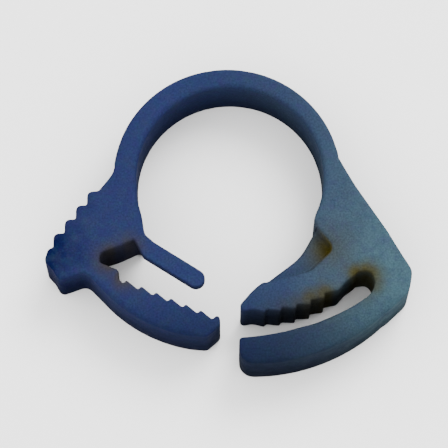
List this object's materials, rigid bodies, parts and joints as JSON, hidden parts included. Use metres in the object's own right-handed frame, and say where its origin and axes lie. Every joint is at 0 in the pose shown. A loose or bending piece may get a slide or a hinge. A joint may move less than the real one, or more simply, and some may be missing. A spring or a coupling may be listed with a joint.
{
  "type": "ratchet hose clamp",
  "caption": "One-piece plastic ratchet hose clamp, open: springy round band, stepped grip jaw with a toothed strap, and a two-fingered jaw that catches it.",
  "frame": {"origin": "bore centre, on the lower flat face", "axes": "+Z along the bore axis (the hose's way); +X from the stepped jaw to the fingered jaw; +Y from the mouth to the crown of the band"},
  "size_m": [0.0388, 0.0325, 0.007],
  "materials": {
    "moulding": "fine matte moulded nylon, dark slate blue"
  },
  "bodies": {
    "crown": {"band_crown": "moulding"},
    "right_link_1": {"band_right_1": "moulding"},
    "right_link_2": {"band_right_2": "moulding"},
    "right_link_3": {"band_right_3": "moulding"},
    "right_jaw": {"right_jaw": "moulding"},
    "left_link_1": {"band_left_1": "moulding"},
    "left_link_2": {"band_left_2": "moulding"},
    "left_link_3": {"band_left_3": "moulding"},
    "left_jaw": {"left_jaw": "moulding"},
    "strap": {"toothed_strap": "moulding"},
    "tongue": {"side_tongue": "moulding"},
    "finger": {"inner_finger": "moulding"},
    "guard": {"outer_guard": "moulding"}
  },
  "joints": [
    {"name": "bend_right_1", "type": "hinge", "parent": "crown", "child": "right_link_1", "pos_m": [0.00178, 0.01091, 0.0035], "axis": [0, 0, -1], "range_deg": [0, 3.6], "stiffness_Nm_per_rad": 0.01},
    {"name": "bend_right_2", "type": "hinge", "parent": "right_link_1", "child": "right_link_2", "pos_m": [0.00546, 0.00955, 0.0035], "axis": [0, 0, -1], "range_deg": [0, 3.71]},
    {"name": "bend_right_3", "type": "hinge", "parent": "right_link_2", "child": "right_link_3", "pos_m": [0.00843, 0.00701, 0.0035], "axis": [0, 0, -1], "range_deg": [0, 3.85]},
    {"name": "bend_right_4", "type": "hinge", "parent": "right_link_3", "child": "right_jaw", "pos_m": [0.01032, 0.0036, 0.0035], "axis": [0, 0, -1], "range_deg": [0, 3.96]},
    {"name": "bend_left_1", "type": "hinge", "parent": "crown", "child": "left_link_1", "pos_m": [-0.00217, 0.01089, 0.0035], "axis": [0, 0, 1], "range_deg": [0, 3.38]},
    {"name": "bend_left_2", "type": "hinge", "parent": "left_link_1", "child": "left_link_2", "pos_m": [-0.00587, 0.00948, 0.0035], "axis": [0, 0, 1], "range_deg": [0, 3.28]},
    {"name": "bend_left_3", "type": "hinge", "parent": "left_link_2", "child": "left_link_3", "pos_m": [-0.00885, 0.00685, 0.0035], "axis": [0, 0, 1], "range_deg": [0, 3.17]},
    {"name": "bend_left_4", "type": "hinge", "parent": "left_link_3", "child": "left_jaw", "pos_m": [-0.01071, 0.00333, 0.0035], "axis": [0, 0, 1], "range_deg": [0, 3.06]},
    {"name": "strap_flex", "type": "hinge", "parent": "left_jaw", "child": "strap", "pos_m": [-0.01345, -0.0108, 0.0035], "axis": [0, 0, -1], "range_deg": [0, 4.79]},
    {"name": "tongue_flex", "type": "hinge", "parent": "left_jaw", "child": "tongue", "pos_m": [-0.00895, -0.00785, 0.0063], "axis": [0, 0, 1], "range_deg": [0, 11.16]},
    {"name": "guard_flex", "type": "hinge", "parent": "right_jaw", "child": "guard", "pos_m": [0.01584, -0.0137, 0.0035], "axis": [0, 0, 1], "range_deg": [0, 8.82]},
    {"name": "finger_click", "type": "hinge", "parent": "right_jaw", "child": "finger", "pos_m": [0.01135, -0.008, 0.0035], "axis": [0, 0, -1], "range_deg": [0, 1.2], "stiffness_Nm_per_rad": 0.001}
  ],
  "couplings": [
    {"joint": "bend_right_2", "follows": "bend_right_1", "ratio": 1.03},
    {"joint": "bend_right_3", "follows": "bend_right_1", "ratio": 1.07},
    {"joint": "bend_right_4", "follows": "bend_right_1", "ratio": 1.1},
    {"joint": "bend_left_1", "follows": "bend_right_1", "ratio": 0.94},
    {"joint": "bend_left_2", "follows": "bend_right_1", "ratio": 0.91},
    {"joint": "bend_left_3", "follows": "bend_right_1", "ratio": 0.88},
    {"joint": "bend_left_4", "follows": "bend_right_1", "ratio": 0.85},
    {"joint": "strap_flex", "follows": "bend_right_1", "ratio": 1.33},
    {"joint": "tongue_flex", "follows": "bend_right_1", "ratio": 3.1},
    {"joint": "guard_flex", "follows": "bend_right_1", "ratio": 2.45}
  ]
}
